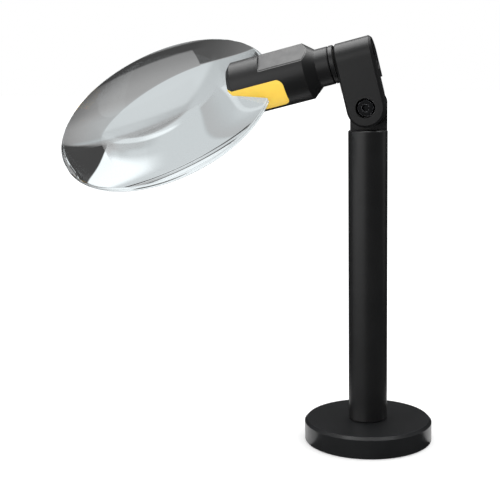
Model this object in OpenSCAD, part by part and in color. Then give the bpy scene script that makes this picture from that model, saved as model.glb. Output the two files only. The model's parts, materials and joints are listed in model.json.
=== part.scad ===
// Stand magnifier: a weighted base, a post, a tilting elbow and a swivelling head that grips a rimless lens.
// The origin is on the table under the post's axis. The arm reaches towards -X and the screws face -Y.

/* [Base] */
// Diameter of the weighted base
base_d = 55; // [52:0.5:80]
// Height of the base's top above the table
base_h = 9.4; // [8.5:0.1:14]
// Bevel round the base's top edge
base_bevel = 1.1; // [0.4:0.1:1.8]
// Thickness of the non-slip pad under the base
pad_t = 1.2; // [0.8:0.1:1.6]

/* [Post] */
// Diameter of the post
post_d = 16.5; // [15.5:0.5:20]
// Height of the tilt pivot above the table
pivot_h = 143.8; // [100:0.1:220]
// Gap between the elbow's foot and the post's shoulder
shoulder_gap = 1.4; // [0.8:0.1:4]
// Distance of the tang's flat face behind the post's axis
tang_y = 2.5; // [2:0.1:3]

/* [Elbow] */
// Width of the elbow's stem, and the diameter of its barrel
elbow_w = 16; // [15.5:0.1:17]
// Lean of the elbow's stem towards the lens at rest
tilt = 13.5; // [0:0.5:40]
// Distance from the pivot to the arm's axis
elbow_l = 20.75; // [20:0.25:26]
// Bevel on the elbow's edges
elbow_bevel = 0.9; // [0.2:0.1:1.1]

/* [Head] */
// Turn of the head about the arm's axis at rest
roll = 36; // [-90:1:90]
// Diameter of the round head
head_d = 23.7; // [23.2:0.1:26]
// Distance from the barrel's middle to the head's open end
head_end = 54.3; // [52:0.1:58]
// Height of the slot that takes the insert
slot_h = 13; // [12:0.5:14]
// Distance from the barrel's middle to the slot's closed end
slot_start = 30.3; // [28:0.1:32]
// Depth of the flat on top of the head, measured at its middle
flat_depth = 1.35; // [1:0.05:1.6]

/* [Lens] */
// Diameter of the lens
lens_d = 98.8; // [94:0.2:102]
// Radius of the lens's upper face
upper_face_r = 130; // [120:5:180]
// Radius of the lens's lower face, which bulges more
lower_face_r = 110; // [100:5:140]
// Thickness of the lens at its edge
lens_edge = 2.4; // [2:0.1:3]
// Distance from the barrel's middle to the lens centre
lens_reach = 86.6; // [86:0.1:88]
// Offset of the lens below the arm's axis
lens_drop = 1; // [0:0.1:2]

/* [Hidden] */

$fn = 96;
overcut = 1;

post_r = post_d / 2;
elbow_r = elbow_w / 2;
shoulder_drop = elbow_r + shoulder_gap;
head_r = head_d / 2;
lens_r = lens_d / 2;

// Base and post joint
base_lift = 0.3;
pad_r = base_d / 2 - 0.8;
pad_fit = 0.05;
screw6_r = 3;
screw6_head_r = 5.65;
screw6_tip = base_h + 14;
register_r = 6;
register_h = 2;

// Pivot: distances along Y from the post's axis
screw4_r = 1.98;
screw4_head_r = 3.5;
pivot_head_top = -elbow_r + 0.6;
pivot_head_h = 4;
pivot_spring_h = 0.6;
pivot_floor = pivot_head_top + pivot_head_h + pivot_spring_h + 0.05;
foot_back = tang_y - 0.2;
washer_recess = 0.5;
bush_wall = 1;

// Swivel: distances s along the arm from the barrel's middle, towards the lens
barrel_half = elbow_r;
spindle_r = 3.98;
spindle_bore_r = 4.01;
bush_bore_r = 4.05;
bush_r = 5;
bush_l = 4.4;
rear_pocket_r = 6.5;
rear_pocket = -barrel_half + 4.1;
ring_gap = 0.4;
ring_start = barrel_half + ring_gap;
ring_end = ring_start + 1.85;
neck_start = ring_end + 0.35;
neck_r = elbow_r - 0.02;
cone_start = neck_start + 5.5;
cone_end = cone_start + 4.65;
spindle_start = -barrel_half + 2.4;
spindle_end = cone_end + 3;
cap_r = rear_pocket_r - 0.2;
cap_face = -barrel_half + 0.3;

// Head, label and insert
head_bevel = 2;
flat_n = head_r - flat_depth;
flat_end = 39.6;
label_t = 0.4;
slot_corner_r = 3;
insert_fit = 0.03;
lens_gap = 0.12;
relief_gap = 0.4;

// Places the children on the tilted elbow: origin at the pivot, +Z up the stem, the arm towards -X
module on_elbow() {
    translate([0, 0, pivot_h]) rotate([0, -tilt, 0]) children();
}

// Places the children on the arm: origin at the barrel's middle, +Z towards the lens, +X up the stem
module on_arm() {
    on_elbow() translate([0, 0, elbow_l]) rotate([0, -90, 0]) children();
}

// Places the children on the rolled head: as on_arm, with +X square to the lens
module on_head() {
    on_arm() rotate([0, 0, -roll]) children();
}

// A cylinder along +Y from y0 to y1
module y_cylinder(r, y0, y1) {
    translate([0, y1, 0]) rotate([90, 0, 0]) cylinder(r = r, h = y1 - y0);
}

// A cone along +Y from radius r0 at y0 to r1 at y1
module y_cone(r0, r1, y0, y1) {
    translate([0, y0, 0]) rotate([-90, 0, 0]) cylinder(r1 = r0, r2 = r1, h = y1 - y0);
}

// A tube along +Z from z0 to z1
module tube(r_out, r_in, z0, z1) {
    translate([0, 0, z0]) difference() {
        cylinder(r = r_out, h = z1 - z0);
        translate([0, 0, -overcut]) cylinder(r = r_in, h = z1 - z0 + 2 * overcut);
    }
}

// A conical spring washer standing on z = 0, with its narrow end up
module cone_washer(r_out, r_in, t, h) {
    rotate_extrude() polygon([[r_in, h - t], [r_out, 0], [r_out, t], [r_in, h]]);
}

module base_disc() {
    countersink_h = screw6_head_r - screw6_r;
    r = base_d / 2;
    color("#26282a") difference() {
        rotate_extrude() polygon([
            [0, base_lift], [r - 0.2, base_lift], [r, base_lift + 0.2],
            [r, base_h - base_bevel], [r - base_bevel, base_h], [0, base_h]
        ]);
        translate([0, 0, -overcut]) cylinder(r = pad_r + pad_fit, h = pad_t + overcut);
        translate([0, 0, pad_t - 0.01]) cylinder(r = screw6_head_r + 0.1, h = 0.21);
        translate([0, 0, pad_t + 0.2]) cylinder(
            r1 = screw6_head_r + 0.1, r2 = screw6_r + 0.1, h = countersink_h
        );
        cylinder(r = screw6_r + 0.2, h = base_h);
        translate([0, 0, base_h - register_h]) cylinder(r = register_r + 0.05, h = register_h + overcut);
    }
}

module base_pad() {
    color("#151515") cylinder(r = pad_r, h = pad_t);
}

module base_screw() {
    head_z = pad_t + 0.2;
    neck_z = head_z + screw6_head_r - screw6_r;
    color("#8a8c90") difference() {
        union() {
            translate([0, 0, head_z]) cylinder(r1 = screw6_head_r, r2 = screw6_r, h = neck_z - head_z);
            translate([0, 0, neck_z]) cylinder(r = screw6_r, h = screw6_tip - neck_z);
        }
        translate([0, 0, head_z - overcut]) cylinder(r = 2.3, h = 2 + overcut, $fn = 6);
    }
}

// The bar below the shoulder, with a fine chamfer at each end and the register spigot below
module post_bar() {
    shoulder = pivot_h - shoulder_drop;
    c = 0.4;
    rotate_extrude() polygon([
        [0, base_h - register_h], [register_r, base_h - register_h], [register_r, base_h],
        [post_r - c, base_h], [post_r, base_h + c],
        [post_r, shoulder - c], [post_r - c, shoulder], [0, shoulder]
    ]);
}

// The back of the bar carried up past the pivot, flat in front and round on top
module post_tang() {
    tang_low = pivot_h - shoulder_drop - 2;
    intersection() {
        translate([0, 0, tang_low]) cylinder(r = post_r, h = pivot_h + post_r - tang_low);
        translate([-post_r, tang_y, tang_low]) cube([post_d, post_r, post_d * 2]);
        union() {
            translate([0, 0, pivot_h]) y_cylinder(post_r, 0, post_d);
            translate([-post_r, 0, tang_low]) cube([post_d, post_d, pivot_h - tang_low]);
        }
    }
}

module post() {
    color("#1f2022") difference() {
        union() {
            post_bar();
            post_tang();
        }
        translate([0, 0, base_h - register_h - overcut]) cylinder(
            r = screw6_r + 0.02, h = screw6_tip + 1 - base_h + register_h + overcut
        );
        translate([0, 0, pivot_h]) y_cylinder(screw4_r + 0.02, 0, post_d);
    }
}

module pivot_screw() {
    head_back = pivot_head_top + pivot_head_h;
    color("#303236") translate([0, 0, pivot_h]) difference() {
        union() {
            y_cone(screw4_head_r - 0.3, screw4_head_r, pivot_head_top, pivot_head_top + 0.3);
            y_cylinder(screw4_head_r, pivot_head_top + 0.3, head_back);
            y_cylinder(screw4_r, head_back, post_r - 0.6);
        }
        translate([0, pivot_head_top + 2, 0]) rotate([90, 0, 0]) cylinder(r = 1.73, h = 2 + overcut, $fn = 6);
    }
}

module pivot_spring() {
    head_back = pivot_head_top + pivot_head_h;
    color("#9a9ca0") translate([0, head_back + pivot_spring_h, pivot_h]) rotate([90, 0, 0])
        cone_washer(3.8, screw4_r + 0.15, 0.35, pivot_spring_h);
}

module pivot_bush() {
    color("#d8d4c8") on_elbow() difference() {
        y_cylinder(screw4_r + 0.05 + bush_wall, pivot_floor, foot_back - washer_recess);
        y_cylinder(screw4_r + 0.05, pivot_floor - overcut, foot_back);
    }
}

module pivot_washer() {
    color("#7a5c3a") on_elbow() difference() {
        y_cylinder(6.4, foot_back - washer_recess, tang_y - 0.02);
        y_cylinder(screw4_r + 0.3, foot_back - washer_recess - overcut, tang_y + overcut);
    }
}

// The barrel across the top of the elbow, bevelled at both ends
module elbow_barrel() {
    b = elbow_bevel;
    translate([0, 0, elbow_l]) rotate([0, -90, 0]) rotate_extrude() polygon([
        [0, -barrel_half], [elbow_r - b, -barrel_half], [elbow_r, -barrel_half + b],
        [elbow_r, barrel_half - b], [elbow_r - b, barrel_half], [0, barrel_half]
    ]);
}

// The stem's outline across its length, from the front face to the given back face
module stem_section(back) {
    b = elbow_bevel;
    polygon([
        [-elbow_r + b, -elbow_r], [elbow_r - b, -elbow_r], [elbow_r, -elbow_r + b],
        [elbow_r, back - b], [elbow_r - b, back], [-elbow_r + b, back],
        [-elbow_r, back - b], [-elbow_r, -elbow_r + b]
    ]);
}

module elbow() {
    b = elbow_bevel;
    block_start = elbow_r + 3.1;
    color("#232427") on_elbow() difference() {
        union() {
            elbow_barrel();
            linear_extrude(elbow_l) stem_section(foot_back);
            translate([0, 0, block_start]) linear_extrude(elbow_l - block_start) stem_section(elbow_r);
            y_cone(elbow_r - b, elbow_r, -elbow_r, -elbow_r + b);
            y_cylinder(elbow_r, -elbow_r + b, foot_back - b);
            y_cone(elbow_r, elbow_r - b, foot_back - b, foot_back);
        }
        y_cylinder(4.15, -elbow_r - overcut, pivot_floor);
        y_cylinder(screw4_r + 0.05 + bush_wall, 0, foot_back + overcut);
        y_cylinder(screw4_r + 0.05 + bush_wall, pivot_floor - overcut, 1);
        y_cylinder(6.5, foot_back - washer_recess, foot_back + 0.1);
        translate([0, 0, elbow_l]) rotate([0, -90, 0]) {
            translate([0, 0, -elbow_w]) cylinder(r = bush_r, h = 2 * elbow_w);
            translate([0, 0, -elbow_w]) cylinder(r = rear_pocket_r, h = rear_pocket + elbow_w);
        }
    }
}

module front_bush() {
    color("#d8d4c8") on_arm() tube(bush_r, bush_bore_r, barrel_half - 0.1 - bush_l, barrel_half - 0.1);
}

module rear_bush() {
    color("#d8d4c8") on_arm() tube(bush_r, bush_bore_r, rear_pocket, rear_pocket + bush_l);
}

module front_washer() {
    color("#1a1a1a") on_arm() tube(6.3, spindle_bore_r, barrel_half + 0.03, ring_start);
}

module thrust_ring() {
    c = 0.2;
    color("#2c2d30") on_arm() rotate_extrude() polygon([
        [spindle_bore_r, ring_start], [neck_r - c, ring_start], [neck_r, ring_start + c],
        [neck_r, ring_end - c], [neck_r - c, ring_end], [spindle_bore_r, ring_end]
    ]);
}

module swivel_spring() {
    span = rear_pocket - spindle_start - 0.1;
    color("#9a9ca0") on_arm() translate([0, 0, spindle_start + 0.05]) {
        cone_washer(6.2, spindle_bore_r + 0.1, span * 0.35, span / 2);
        translate([0, 0, span]) mirror([0, 0, 1]) cone_washer(6.2, spindle_bore_r + 0.1, span * 0.35, span / 2);
    }
}

module end_cap() {
    c = 0.25;
    color("#18191b") on_arm() difference() {
        rotate_extrude() polygon([
            [0, cap_face], [cap_r - c, cap_face], [cap_r, cap_face + c],
            [cap_r, spindle_start], [0, spindle_start]
        ]);
        translate([0, 0, cap_face - overcut]) cylinder(r = screw4_r + 0.1, h = 4);
        translate([0, 0, cap_face - 0.01]) cylinder(r1 = 3.8, r2 = screw4_r + 0.1, h = 1.75);
    }
}

module end_screw() {
    head_h = 1.7;
    color("#303236") on_arm() translate([0, 0, cap_face + 0.05]) difference() {
        union() {
            cylinder(r1 = screw4_r + head_h, r2 = screw4_r, h = head_h);
            translate([0, 0, head_h]) cylinder(r = screw4_r, h = 8);
        }
        translate([0, 0, -overcut]) cylinder(r = 1.45, h = 1.3 + overcut, $fn = 6);
    }
}

module spindle() {
    thread_depth = 11;
    color("#8a8c90") on_arm() difference() {
        translate([0, 0, spindle_start]) cylinder(r = spindle_r, h = spindle_end - spindle_start);
        translate([0, 0, spindle_start - overcut]) cylinder(r = screw4_r + 0.02, h = thread_depth);
    }
}

// The head's outer shape, all turned about the arm's axis: boss, neck, cone, head and end bevel
module head_turning() {
    c = 0.25;
    rotate_extrude() polygon([
        [0, ring_end + 0.02], [6, ring_end + 0.02], [6, neck_start],
        [neck_r - c, neck_start], [neck_r, neck_start + c], [neck_r, cone_start],
        [head_r, cone_end], [head_r, head_end - head_bevel],
        [head_r - head_bevel, head_end], [0, head_end]
    ]);
}

// Everything above a plane square to the lens axis, between two distances along the arm
module slab(n0, n1, s0, s1) {
    translate([n0, -head_d, s0]) cube([n1 - n0, 2 * head_d, s1 - s0]);
}

// The slot's block, full width, with its two inner corners rounded
module slot_block(fit) {
    r = slot_corner_r - fit;
    half = slot_h / 2 - fit;
    start = slot_start + fit;
    slab(-half, half, start + r, head_end + overcut);
    slab(-half + r, half - r, start, start + 2 * r);
    for (side = [-1, 1]) translate([side * (half - r), 0, start + r]) y_cylinder(r, -head_d, head_d);
}

// Height of a lens face of the given radius at its middle, above the plane through the middle of the edge
function face_height(face_r) = lens_edge / 2 + face_r - sqrt(pow(face_r, 2) - pow(lens_r, 2));

// The lens solid, grown by a gap on its faces and its edge
module lens_solid(gap) {
    up = face_height(upper_face_r) + gap;
    down = face_height(lower_face_r) + gap;
    translate([-lens_drop, 0, lens_reach]) rotate([0, 90, 0]) rotate_extrude($fn = 180) intersection() {
        translate([0, up - upper_face_r]) circle(r = upper_face_r, $fn = 360);
        translate([0, lower_face_r - down]) circle(r = lower_face_r, $fn = 360);
        translate([0, -down]) square([lens_r + gap, up + down]);
    }
}

module head_body() {
    color("#232427") on_head() difference() {
        head_turning();
        slab(flat_n - label_t, head_d, 0, flat_end);
        slot_block(0);
        lens_solid(relief_gap);
        cylinder(r = spindle_bore_r, h = spindle_end + 0.5);
    }
}

module label_plate() {
    color("#6a6a6c") on_head() intersection() {
        head_turning();
        slab(flat_n - label_t, flat_n, 0, flat_end - 0.05);
    }
}

module jaw_insert() {
    color("#e9bf4a") on_head() difference() {
        intersection() {
            head_turning();
            slot_block(insert_fit);
        }
        lens_solid(lens_gap);
    }
}

module lens() {
    color([0.85, 0.9, 0.92, 0.4]) on_head() lens_solid(0);
}

base_disc();
base_pad();
base_screw();
post();
pivot_screw();
pivot_spring();
pivot_bush();
pivot_washer();
elbow();
front_bush();
rear_bush();
front_washer();
thrust_ring();
swivel_spring();
end_cap();
end_screw();
spindle();
head_body();
label_plate();
jaw_insert();
lens();
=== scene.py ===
"""Looks for the stand magnifier: materials, the optical lens, the studio and the camera."""
import json
import math

import bpy
from mathutils import Matrix, Vector


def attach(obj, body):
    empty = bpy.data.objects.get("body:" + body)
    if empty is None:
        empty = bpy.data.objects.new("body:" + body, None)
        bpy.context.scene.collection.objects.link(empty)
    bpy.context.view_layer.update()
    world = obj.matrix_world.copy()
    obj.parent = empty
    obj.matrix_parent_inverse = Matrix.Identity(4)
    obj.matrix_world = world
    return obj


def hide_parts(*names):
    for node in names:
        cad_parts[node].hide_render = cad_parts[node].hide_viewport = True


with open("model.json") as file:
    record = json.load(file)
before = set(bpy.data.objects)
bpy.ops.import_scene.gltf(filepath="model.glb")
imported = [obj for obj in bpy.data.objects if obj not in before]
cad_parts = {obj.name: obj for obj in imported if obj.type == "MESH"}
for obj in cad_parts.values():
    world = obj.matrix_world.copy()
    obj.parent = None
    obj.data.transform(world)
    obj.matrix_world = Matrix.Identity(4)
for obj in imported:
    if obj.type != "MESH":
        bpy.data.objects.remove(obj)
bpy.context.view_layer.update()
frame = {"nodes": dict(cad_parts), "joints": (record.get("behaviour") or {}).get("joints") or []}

NODES = frame["nodes"]
JOINTS = {joint["name"]: joint for joint in frame["joints"]}
MM = 0.001

# The arm's frame: the barrel's middle, the way to the lens, up the stem, and the front (-Y) side
BARREL = Vector(JOINTS["head_swivel"]["pos_m"])
ARM = Vector(JOINTS["head_swivel"]["axis"]).normalized()
FRONT = Vector((0, -1, 0))
UP = Vector((0, 0, 1))
STEM = ARM.cross(FRONT).normalized()
HEAD_ROLL = math.radians(36)
LENS_UP = (STEM * math.cos(HEAD_ROLL) + FRONT * math.sin(HEAD_ROLL)).normalized()

# The lens as the CAD part has it: its size, and its middle's place along the arm and below the arm's axis
LENS_R = 49.4 * MM
UPPER_FACE_R = 130 * MM
LOWER_FACE_R = 110 * MM
LENS_EDGE = 2.4 * MM
LENS_REACH = 86.6 * MM
LENS_DROP = 1 * MM

# How far the camera's aim at rest is turned left of +Y; the studio is laid out around that aim
CAMERA_AZIMUTH = math.radians(13.84)


# ---------------------------------------------------------------- node trees

def rgb(r, g, b):
    return (r, g, b, 1.0)


def scaled(colour, factor, add=0.0, most=1.0):
    """A colour made lighter or darker, no lighter than most."""
    return rgb(*(min(most, c * factor + add) for c in colour))


class Nodes:
    """A node tree with short ways to add to it."""

    def __init__(self, tree):
        self.tree = tree

    def add(self, kind, **settings):
        node = self.tree.nodes.new(kind)
        for key, value in settings.items():
            setattr(node, key, value)
        return node

    def link(self, source, target):
        self.tree.links.new(source, target)

    def feed(self, socket, value):
        """Links value if it is a socket, or sets it as the socket's own value."""
        if isinstance(value, bpy.types.NodeSocket):
            self.link(value, socket)
        else:
            socket.default_value = value

    def math(self, operation, *values, clamp=False):
        node = self.add("ShaderNodeMath", operation=operation, use_clamp=clamp)
        for socket, value in zip(node.inputs, values):
            self.feed(socket, value)
        return node.outputs[0]

    def remap(self, value, low, high, to_low, to_high, interpolation="LINEAR"):
        node = self.add("ShaderNodeMapRange", interpolation_type=interpolation)
        self.feed(node.inputs["Value"], value)
        node.inputs["From Min"].default_value = low
        node.inputs["From Max"].default_value = high
        node.inputs["To Min"].default_value = to_low
        node.inputs["To Max"].default_value = to_high
        return node.outputs[0]

    def mix_colours(self, factor, first, second):
        node = self.add("ShaderNodeMix", data_type="RGBA")
        self.feed(node.inputs["Factor"], factor)
        self.feed(node.inputs[6], first)
        self.feed(node.inputs[7], second)
        return node.outputs[2]


# ---------------------------------------------------------------- materials

class Shader(Nodes):
    """A new node material with its Principled shader."""

    def __init__(self, name):
        self.material = bpy.data.materials.new(name)
        self.material.use_nodes = True
        super().__init__(self.material.node_tree)
        self.bsdf = self.tree.nodes["Principled BSDF"]

    def place(self):
        return self.add("ShaderNodeTexCoord").outputs["Object"]

    def along(self, axis, origin=(0, 0, 0)):
        """Distance of a surface point from origin along axis, in metres."""
        offset = self.add("ShaderNodeVectorMath", operation="SUBTRACT")
        self.link(self.place(), offset.inputs[0])
        offset.inputs[1].default_value = origin
        dot = self.add("ShaderNodeVectorMath", operation="DOT_PRODUCT")
        self.link(offset.outputs[0], dot.inputs[0])
        dot.inputs[1].default_value = axis
        return dot.outputs["Value"]

    def noise(self, scale, detail=2.0, roughness=0.5):
        node = self.add("ShaderNodeTexNoise")
        self.link(self.place(), node.inputs["Vector"])
        node.inputs["Scale"].default_value = scale
        node.inputs["Detail"].default_value = detail
        node.inputs["Roughness"].default_value = roughness
        return node.outputs[0]

    def lines(self, coordinate, pitch):
        """Irregular parallel lines, pitch metres apart, across the given distance."""
        node = self.add("ShaderNodeTexNoise", noise_dimensions="1D")
        self.link(self.math("MULTIPLY", coordinate, 1 / pitch), node.inputs["W"])
        node.inputs["Scale"].default_value = 1.0
        node.inputs["Detail"].default_value = 3.0
        return node.outputs[0]

    def edges(self, radius):
        """0 on open surfaces, rising to 1 on edges sharper than the radius."""
        bevel = self.add("ShaderNodeBevel", samples=6)
        bevel.inputs["Radius"].default_value = radius
        flat = self.add("ShaderNodeNewGeometry").outputs["Normal"]
        dot = self.add("ShaderNodeVectorMath", operation="DOT_PRODUCT")
        self.link(bevel.outputs[0], dot.inputs[0])
        self.link(flat, dot.inputs[1])
        return self.remap(dot.outputs["Value"], 1.0, 0.93, 0.0, 1.0)

    def bump(self, height, depth, after=None):
        node = self.add("ShaderNodeBump")
        node.inputs["Distance"].default_value = depth
        self.link(height, node.inputs["Height"])
        if after is not None:
            self.link(after, node.inputs["Normal"])
        return node.outputs[0]

    def finish(self, **inputs):
        for key, value in inputs.items():
            self.feed(self.bsdf.inputs[key.replace("_", " ")], value)
        return self.material


def black_coat(
        name, colour, roughness, axis=None, origin=(0, 0, 0), pitch=0.25 * MM, line_depth=0.004 * MM):
    """Black anodised or oxidised metal: blasted grain, faint turned lines along axis, edges paler in patches.
    """
    s = Shader(name)
    grain = s.noise(5200, 3.0, 0.65)
    cloud = s.noise(70, 3.0)
    tint = s.mix_colours(s.remap(cloud, 0.3, 0.7, 0.0, 1.0), scaled(colour, 0.86), scaled(colour, 1.14))
    edge = s.edges(0.22 * MM)
    patchy = s.remap(s.noise(900, 2.0), 0.38, 0.7, 0.1, 0.55)
    # Edges turn paler in noisy patches.
    pale_edge_patches = s.math("MULTIPLY", edge, patchy, clamp=True)
    base = s.mix_colours(pale_edge_patches, tint, scaled(colour, 4.5, add=0.01))
    rough = s.remap(grain, 0.25, 0.75, roughness - 0.05, roughness + 0.06)
    normal = s.bump(grain, 0.006 * MM)
    if axis is not None:
        normal = s.bump(s.lines(s.along(axis, origin), pitch), line_depth, after=normal)
    return s.finish(Base_Color=base, Roughness=rough, Normal=normal, IOR=1.5)


def machined_steel(name, colour, roughness, axis, origin):
    """Bare or oxidised steel turned about axis, with its lines, a soft stain and a painted highlight that turns
    its edges pale.
    """
    s = Shader(name)
    lines = s.lines(s.along(axis, origin), 0.12 * MM)
    stain = s.noise(160, 3.0)
    base = s.mix_colours(s.remap(stain, 0.35, 0.7, 0.0, 1.0), rgb(*colour), scaled(colour, 0.72))
    # Painted highlight: edges turn up to twenty times paler, standing in for glints on the screws and steel
    # parts.
    base = s.mix_colours(s.edges(0.12 * MM), base, scaled(colour, 20, most=0.8))
    rough = s.remap(lines, 0.3, 0.7, roughness - 0.06, roughness + 0.08)
    return s.finish(Base_Color=base, Roughness=rough, Metallic=1.0, Normal=s.bump(lines, 0.004 * MM))


def moulded(name, colour, roughness, grain_scale, depth, scatter=0.0):
    """Moulded rubber or plastic: even fine texture and a slight colour drift."""
    s = Shader(name)
    grain = s.noise(grain_scale, 2.0, 0.6)
    drift = s.noise(110, 2.0)
    base = s.mix_colours(s.remap(drift, 0.3, 0.7, 0.0, 1.0), scaled(colour, 0.9), rgb(*colour))
    rough = s.remap(grain, 0.3, 0.7, roughness - 0.06, roughness + 0.06)
    s.bsdf.inputs["Subsurface Weight"].default_value = scatter
    s.bsdf.inputs["Subsurface Scale"].default_value = 0.6 * MM
    return s.finish(Base_Color=base, Roughness=rough, Normal=s.bump(grain, depth))


def label_metal(name):
    """Satin grey plate with fine lines brushed along the arm, and a painted highlight along its edges."""
    s = Shader(name)
    across = ARM.cross(LENS_UP).normalized()
    lines = s.lines(s.along(across, BARREL), 0.09 * MM)
    cloud = s.noise(240, 2.0)
    darker, paler = rgb(0.044, 0.044, 0.045), rgb(0.062, 0.062, 0.062)
    base = s.mix_colours(s.remap(cloud, 0.3, 0.7, 0.0, 1.0), darker, paler)
    # Painted highlight: a pale outline along the plate's edges.
    base = s.mix_colours(s.edges(0.2 * MM), base, rgb(0.2, 0.2, 0.2))
    rough = s.remap(lines, 0.3, 0.7, 0.42, 0.58)
    return s.finish(Base_Color=base, Roughness=rough, Metallic=0.2, Normal=s.bump(lines, 0.003 * MM))


def clear_acrylic(name, least_rough, most_rough):
    """Polished clear acrylic, with the faintest haze and wipe marks in its gloss."""
    s = Shader(name)
    haze = s.noise(45, 4.0, 0.6)
    rough = s.remap(haze, 0.45, 0.8, least_rough, most_rough)
    s.bsdf.inputs["Transmission Weight"].default_value = 1.0
    return s.finish(Base_Color=rgb(0.985, 0.99, 0.992), Roughness=rough, IOR=1.49)


def dress(material, *names):
    """Gives CAD nodes a material in every slot."""
    for name in names:
        mesh = NODES[name].data
        mesh.materials.clear()
        mesh.materials.append(material)


BLACK = (0.0064, 0.0066, 0.007)
# Painted shade: the elbow's black is a darker copy of BLACK, so its front face shows less of the key light.
ELBOW_BLACK_SHADED_COPY = (0.005, 0.0052, 0.0056)
# Painted light: the base's black is a paler copy of BLACK, standing in for light on its front side.
BASE_BLACK_LIT_COPY = (0.0078, 0.0082, 0.0088)
OXIDE = (0.022, 0.0225, 0.024)
BRIGHT = (0.6, 0.6, 0.62)
ORIGIN = (0, 0, 0)

dress(black_coat("anodised_black", BLACK, 0.42, ARM, BARREL), "head_body", "end_cap")
# The elbow gets the darker copy of the black: painted shade on its front face.
dress(black_coat("anodised_black_elbow_painted_shade", ELBOW_BLACK_SHADED_COPY, 0.42), "elbow")
dress(black_coat("ring_black", BLACK, 0.36, ARM, BARREL, 0.16 * MM, 0.008 * MM), "thrust_ring")
dress(black_coat("post_black", BLACK, 0.4, UP), "post")
# The base gets the paler copy of the black: painted light on its side.
dress(black_coat("base_black_painted_light", BASE_BLACK_LIT_COPY, 0.3, UP), "base_disc")
dress(machined_steel("oxide_steel", OXIDE, 0.26, FRONT, ORIGIN), "pivot_screw")
dress(machined_steel("oxide_steel_cap", OXIDE, 0.26, ARM, BARREL), "end_screw")
bright_steel = machined_steel("bright_steel", BRIGHT, 0.3, ARM, BARREL)
dress(bright_steel, "spindle", "swivel_spring", "pivot_spring")
dress(machined_steel("bright_steel_base", BRIGHT, 0.3, UP, ORIGIN), "base_screw")
dress(moulded("pad_rubber", (0.012, 0.012, 0.012), 0.8, 2600, 0.03 * MM), "base_pad")
bush_plastic = moulded("bush_plastic", (0.7, 0.67, 0.58), 0.45, 4000, 0.006 * MM)
dress(bush_plastic, "pivot_bush", "front_bush", "rear_bush")
washer_fibre = moulded("washer_fibre", (0.03, 0.026, 0.022), 0.75, 3600, 0.02 * MM)
dress(washer_fibre, "pivot_washer", "front_washer")
insert_yellow = moulded("insert_yellow", (0.8, 0.53, 0.058), 0.42, 5200, 0.008 * MM, scatter=0.12)
dress(insert_yellow, "jaw_insert")
dress(label_metal("label_grey"), "label_plate")


# ---------------------------------------------------------------- the lens

def turned(name, profile, centre, axis, segments):
    """A solid of revolution; profile's points (radius, height along axis) start and end on the axis."""
    side = axis.orthogonal().normalized()
    other = axis.cross(side)
    verts = [centre + axis * profile[0][1]]
    for radius, height in profile[1:-1]:
        for i in range(segments):
            angle = 2 * math.pi * i / segments
            out = side * math.cos(angle) + other * math.sin(angle)
            verts.append(centre + out * radius + axis * height)
    verts.append(centre + axis * profile[-1][1])
    last = len(verts) - 1
    faces = []
    for i in range(segments):
        j = (i + 1) % segments
        faces.append((0, 1 + i, 1 + j))
        for ring in range(len(profile) - 3):
            a = 1 + ring * segments
            b = a + segments
            faces.append((a + i, b + i, b + j, a + j))
        end = last - segments
        faces.append((last, end + j, end + i))
    mesh = bpy.data.meshes.new(name)
    mesh.from_pydata([tuple(v) for v in verts], [], faces)
    mesh.validate()
    obj = bpy.data.objects.new(name, mesh)
    bpy.context.scene.collection.objects.link(obj)
    return obj


def face_profile(face_r, rings, rim_bevel):
    """Points (radius, height) of one lens face from its middle out to the rim's bevel."""
    sag = face_r - math.sqrt(face_r ** 2 - LENS_R ** 2)
    sphere_middle = LENS_EDGE / 2 + sag - face_r
    radii = [(LENS_R - rim_bevel) * i / rings for i in range(rings + 1)]
    points = [(r, sphere_middle + math.sqrt(face_r ** 2 - r ** 2)) for r in radii]
    return points + [(LENS_R, LENS_EDGE / 2 - rim_bevel)]


def lens_profile(rings=48, rim_bevel=0.2 * MM):
    """The lens's outline from its upper face's middle, round the rim, to its lower face's middle."""
    lower = face_profile(LOWER_FACE_R, rings, rim_bevel)
    return face_profile(UPPER_FACE_R, rings, rim_bevel) + [(r, -z) for r, z in reversed(lower)]


lens_centre = BARREL + ARM * LENS_REACH - LENS_UP * LENS_DROP
lens = turned("lens_optic", lens_profile(), lens_centre, LENS_UP, 192)
for polygon in lens.data.polygons:
    polygon.use_smooth = True
lens.data.set_sharp_from_angle(angle=math.radians(20))
lens.data.materials.append(clear_acrylic("clear_acrylic", 0.0, 0.012))
lens.visible_shadow = False
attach(lens, "lens")
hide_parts("lens")


# ---------------------------------------------------------------- studio

def stage_panel(name, width, depth, material):
    """A flat panel on the ground, centred on the origin."""
    w, d = width / 2, depth / 2
    mesh = bpy.data.meshes.new(name)
    mesh.from_pydata([(-w, -d, 0), (w, -d, 0), (w, d, 0), (-w, d, 0)], [], [(0, 1, 2, 3)])
    mesh.materials.append(material)
    obj = bpy.data.objects.new(name, mesh)
    bpy.context.scene.collection.objects.link(obj)
    return obj


# Says what the softboxes light: everything but the objects that are spared
SOFTBOX_LIT = bpy.data.collections.new("lit_by_softboxes")


def spare_from_softboxes(obj):
    """Leaves obj to be lit by the surroundings alone."""
    SOFTBOX_LIT.objects.link(obj)
    SOFTBOX_LIT.collection_objects[-1].light_linking.link_state = "EXCLUDE"


def area_light(name, centre, towards, width, height, watts):
    """A softbox at centre that shines towards a point."""
    light = bpy.data.lights.new(name, "AREA")
    light.shape = "RECTANGLE"
    light.size, light.size_y = width, height
    light.energy = watts
    obj = bpy.data.objects.new(name, light)
    bpy.context.scene.collection.objects.link(obj)
    turned_to = (centre - towards).to_track_quat("Z", "Y").to_matrix().to_4x4()
    obj.matrix_world = Matrix.Translation(centre) @ turned_to
    obj.visible_camera = False
    obj.visible_transmission = False
    obj.light_linking.receiver_collection = SOFTBOX_LIT


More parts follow.
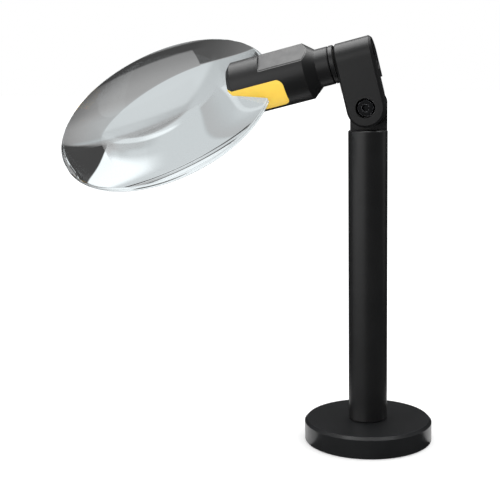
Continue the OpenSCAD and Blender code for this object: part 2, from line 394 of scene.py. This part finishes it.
def pale_floor():
    """The white floor, and a patch behind the base that only shows in glossy surfaces."""
    s = Shader("studio_floor")
    grain = s.noise(900, 2.0)
    s.finish(Base_Color=rgb(0.94, 0.94, 0.94), Roughness=0.9, Normal=s.bump(grain, 0.01 * MM))
    s.bsdf.inputs["Specular IOR Level"].default_value = 0.0
    s.bsdf.inputs["Emission Color"].default_value = rgb(1, 1, 1)
    s.bsdf.inputs["Emission Strength"].default_value = 0.25
    floor = stage_panel("studio_floor", 12, 12, s.material)
    floor.visible_glossy = False
    floor.visible_transmission = False
    patch = stage_panel("floor_behind_base", 100 * MM, 70 * MM, s.material)
    behind_base = Matrix.Translation((0, 27 * MM, 0.02 * MM))
    patch.matrix_world = Matrix.Rotation(CAMERA_AZIMUTH, 4, "Z") @ behind_base
    patch.visible_camera = False
    patch.visible_diffuse = False
    patch.visible_transmission = False
    patch.visible_shadow = False
    spare_from_softboxes(floor)
    spare_from_softboxes(patch)


class Sky(Nodes):
    """The studio's surroundings, by degrees right of the camera's aim at rest and above the horizon."""

    def __init__(self):
        world = bpy.data.worlds.new("studio_world")
        bpy.context.scene.world = world
        world.use_nodes = True
        world.cycles.sampling_method = "NONE"
        super().__init__(world.node_tree)
        self.background = self.tree.nodes["Background"]
        spin = self.add("ShaderNodeVectorRotate", rotation_type="Z_AXIS")
        spin.inputs["Angle"].default_value = -CAMERA_AZIMUTH
        self.link(self.add("ShaderNodeTexCoord").outputs["Generated"], spin.inputs["Vector"])
        split = self.add("ShaderNodeSeparateXYZ")
        self.link(spin.outputs[0], split.inputs[0])
        self.across, self.ahead, self.up = split.outputs
        self.azimuth = self.math("DEGREES", self.math("ARCTAN2", self.across, self.ahead))
        self.height = self.math("DEGREES", self.math("ARCSINE", self.up))

    def ramp(self, value, start, end, start_value=0.0, end_value=1.0):
        """Moves smoothly from start_value to end_value as value goes from start to end."""
        return self.remap(value, start, end, start_value, end_value, "SMOOTHSTEP")

    def line(self, azimuth, height, slope):
        """Degrees above a line that passes a place in the sky and climbs by slope to the right."""
        run = self.math("SUBTRACT", self.azimuth, azimuth)
        climb = self.math("MULTIPLY", run, slope)
        return self.math("SUBTRACT", self.math("SUBTRACT", self.height, height), climb)

    def disc(self, azimuth, height):
        """Degrees from a place in the sky."""
        a, h = math.radians(azimuth), math.radians(height)
        middle = (math.cos(h) * math.sin(a), math.cos(h) * math.cos(a), math.sin(h))
        axes = (self.across, self.ahead, self.up)
        parts = [self.math("MULTIPLY", axis, m) for axis, m in zip(axes, middle)]
        dot = self.math("ADD", self.math("ADD", parts[0], parts[1]), parts[2])
        return self.math("DEGREES", self.math("ARCCOSINE", self.math("MINIMUM", dot, 1.0)))

    def where(self, *masks):
        """1 where all the masks are 1."""
        product = masks[0]
        for mask in masks[1:]:
            product = self.math("MULTIPLY", product, mask)
        return product

    def mix(self, mask, below, above):
        """The level below where mask is 0, and the level above where it is 1."""
        node = self.add("ShaderNodeMix", data_type="FLOAT")
        self.feed(node.inputs[0], mask)
        self.feed(node.inputs[2], below)
        self.feed(node.inputs[3], above)
        return node.outputs[0]


def sky_straight_through(sky):
    """Seen straight through the lens: a pale cove and panel, a grey sheet to the right, a dark table below.

    Beyond this set, to the sides, behind and under the camera, the studio is plain and pale.
    """
    cove = sky.mix(sky.ramp(sky.height, 11, 16), 0.6, 0.5)
    glow = sky.where(sky.ramp(sky.azimuth, -12, 0), sky.ramp(sky.height, 4, 9), sky.ramp(sky.height, 16, 12))
    cove = sky.mix(glow, cove, 0.69)
    panel_distance = sky.disc(-15, 7)
    panel_bounds = sky.where(sky.ramp(sky.azimuth, -15.5, -12.5), sky.ramp(sky.height, 8, 4))
    panel = sky.where(sky.ramp(panel_distance, 24.3, 23.4), panel_bounds)
    level = sky.mix(panel, cove, 0.75)
    sheet_level = sky.math(
        "ADD", sky.ramp(sky.height, -26, -12, 0.28, 0.37), sky.ramp(sky.height, -12, -2, 0.0, 0.12))
    sheet_level = sky.math("ADD", sheet_level, sky.ramp(sky.azimuth, 8, 28, 0.02, -0.11))
    table_side = sky.line(-7.6, -24, -2.6)
    sheet = sky.where(
        sky.ramp(panel_distance, 23.4, 24.3), sky.ramp(table_side, -0.8, 0.8),
        sky.ramp(sky.height, 15, 9), sky.ramp(sky.azimuth, 60, 50))
    level = sky.mix(sheet, level, sheet_level)
    table = sky.where(sky.ramp(sky.line(-10, -17, 0.04), 0.6, -0.6), sky.ramp(table_side, 0.8, -0.8))
    level = sky.mix(table, level, sky.ramp(sky.azimuth, -34, -10, 0.22, 0.1))
    table_front = sky.where(sky.ramp(sky.line(0, -28.5, 0.1), 1.2, -1.2), sky.ramp(sky.azimuth, -12, -5))
    level = sky.mix(table_front, level, 0.075)
    corner = sky.where(sky.ramp(sky.azimuth, 4, 17), sky.ramp(sky.line(21, 13.5, -0.5), -3, 3))
    level = sky.mix(corner, level, 0.06)
    set_piece = sky.where(
        sky.ramp(sky.azimuth, 60, 45), sky.ramp(sky.azimuth, -65, -50), sky.ramp(sky.height, -43, -37))
    return sky.mix(set_piece, 0.8, level)


def sky_by_reflection(sky, bounces):
    """Seen after reflections inside the lens: pale, white high on the right, dark far round to the right."""
    shade = sky.where(sky.ramp(sky.azimuth, -19, -23), sky.ramp(sky.height, 8, 0))
    level = sky.mix(shade, 0.68, sky.ramp(sky.azimuth, -23, -48, 0.5, 0.6))
    fall = sky.where(sky.ramp(sky.azimuth, 22, 34), sky.ramp(sky.height, 30, 17))
    level = sky.mix(fall, level, 0.5)
    crescent_edge = sky.line(5, -12, 0.65)
    dip = sky.where(sky.ramp(sky.azimuth, 6, 22), sky.ramp(crescent_edge, 16, 8))
    level = sky.mix(dip, level, 0.52)
    crescent = sky.where(sky.ramp(crescent_edge, 3.4, 1), sky.ramp(sky.azimuth, -6, 4))
    level = sky.mix(crescent, level, sky.ramp(sky.azimuth, 12, 28, 1.05, 0.8))
    high = sky.where(sky.ramp(sky.line(14, 19, 0.7), -7, 5), sky.ramp(sky.azimuth, 0, 12))
    level = sky.mix(high, level, 1.15)
    level = sky.mix(sky.where(sky.ramp(sky.azimuth, 33, 50), sky.ramp(sky.height, 9, 22)), level, 0.36)
    once = sky.ramp(bounces, 4.6, 4.4)
    twice_or_more = sky.ramp(bounces, 4.4, 4.6)
    thrice_or_more = sky.ramp(bounces, 5.4, 5.6)
    rim = sky.where(sky.ramp(sky.azimuth, -50, -54), twice_or_more)
    level = sky.mix(rim, level, 0.84)
    level = sky.mix(sky.where(once, sky.ramp(sky.height, 33, 40)), level, 0.28)
    overhead = sky.where(twice_or_more, sky.ramp(sky.height, 40, 50), sky.ramp(sky.azimuth, 10, 0))
    level = sky.mix(overhead, level, 1.02)
    level = sky.mix(sky.where(overhead, thrice_or_more, sky.ramp(sky.height, 66, 69)), level, 0.12)
    level = sky.mix(sky.ramp(sky.azimuth, -90, -98), level, 0.62)
    far_right = sky.ramp(sky.azimuth, 70, 80)
    level = sky.mix(far_right, level, 1.15)
    right = sky.where(
        far_right, sky.ramp(sky.line(104, 60.5, -0.55), 0.8, -0.8), sky.ramp(sky.azimuth, 121, 117))
    level = sky.mix(right, level, 0.058)
    left = sky.where(sky.ramp(sky.azimuth, -96, -101), sky.ramp(sky.height, 9, 7.5))
    return sky.mix(left, level, 0.062)


def light_sky():
    """White to the camera, soft to matt surfaces, dim to polished ones, and detailed through the lens.

    The ray depth is one more than the surfaces met: 3 is straight through the lens, 4 has one reflection in it.
    """
    sky = Sky()
    rays = sky.add("ShaderNodeLightPath")
    bounces = rays.outputs["Ray Depth"]
    transmitted = rays.outputs["Is Transmission Ray"]
    reflected = sky.ramp(bounces, 3.4, 3.6)
    many = sky.ramp(bounces, 6.4, 6.6)
    through = sky.mix(reflected, sky_straight_through(sky), sky_by_reflection(sky, bounces))
    through = sky.mix(many, through, sky.ramp(sky.height, -8, 4, 0.1, 1.1))
    level = sky.mix(rays.outputs["Is Glossy Ray"], 1.2, 0.025)
    level = sky.mix(transmitted, level, through)
    level = sky.mix(rays.outputs["Is Camera Ray"], level, 1.0)
    sky.link(level, sky.background.inputs["Strength"])
    cool = sky.where(sky.ramp(through, 0.4, 0.6), transmitted)
    tint = sky.mix_colours(cool, rgb(1, 1, 1), rgb(0.92, 0.98, 1.0))
    sky.link(tint, sky.background.inputs["Color"])


spare_from_softboxes(lens)
pale_floor()
light_sky()
TARGET = Vector((-30, 0, 90)) * MM


def at(azimuth, height, distance):
    """A place at a distance from TARGET, by degrees right of the camera's aim and above the horizon."""
    a, h = math.radians(azimuth), math.radians(height)
    ahead = Vector((-math.sin(CAMERA_AZIMUTH), math.cos(CAMERA_AZIMUTH), 0))
    right = Vector((math.cos(CAMERA_AZIMUTH), math.sin(CAMERA_AZIMUTH), 0))
    level = right * math.sin(a) + ahead * math.cos(a)
    return TARGET + level * math.cos(h) * distance + UP * math.sin(h) * distance


area_light("key_left", at(-118, 14, 1.2), TARGET, 2.0, 1.0, 10.5)
area_light("strip_right", at(78, 8, 1.2), TARGET, 0.1, 0.9, 0.7)
area_light("overhead", at(0, 76, 1.1), TARGET, 1.3, 1.2, 23)

# Enough reflections for the paths that run round inside the lens's rim
bpy.context.scene.cycles.glossy_bounces = 12

view = bpy.context.scene.view_settings
view.view_transform = "Standard"
view.look = "None"
view.exposure = 0.0


# ---------------------------------------------------------------- camera

CAMERA_DISTANCE = 455.5 * MM
CAMERA_SIDE = -50.2 * MM
CAMERA_HEIGHT = 161.1 * MM
CAMERA_PITCH = math.radians(9.55)
CAMERA_ROLL = math.radians(-1.04)
CAMERA_FOCAL = 78.1

turn = Matrix.Rotation(CAMERA_AZIMUTH, 4, "Z")
stand_at = Matrix.Translation((CAMERA_SIDE, -CAMERA_DISTANCE, CAMERA_HEIGHT))
look = Matrix.Rotation(math.pi / 2 - CAMERA_PITCH, 4, "X") @ Matrix.Rotation(CAMERA_ROLL, 4, "Z")
camera_data = bpy.data.cameras.new("camera")
camera_data.lens = CAMERA_FOCAL
camera_data.sensor_width = 36
camera_data.clip_start = 0.02
camera = bpy.data.objects.new("camera", camera_data)
bpy.context.scene.collection.objects.link(camera)
camera.matrix_world = turn @ stand_at @ look
bpy.context.scene.camera = camera
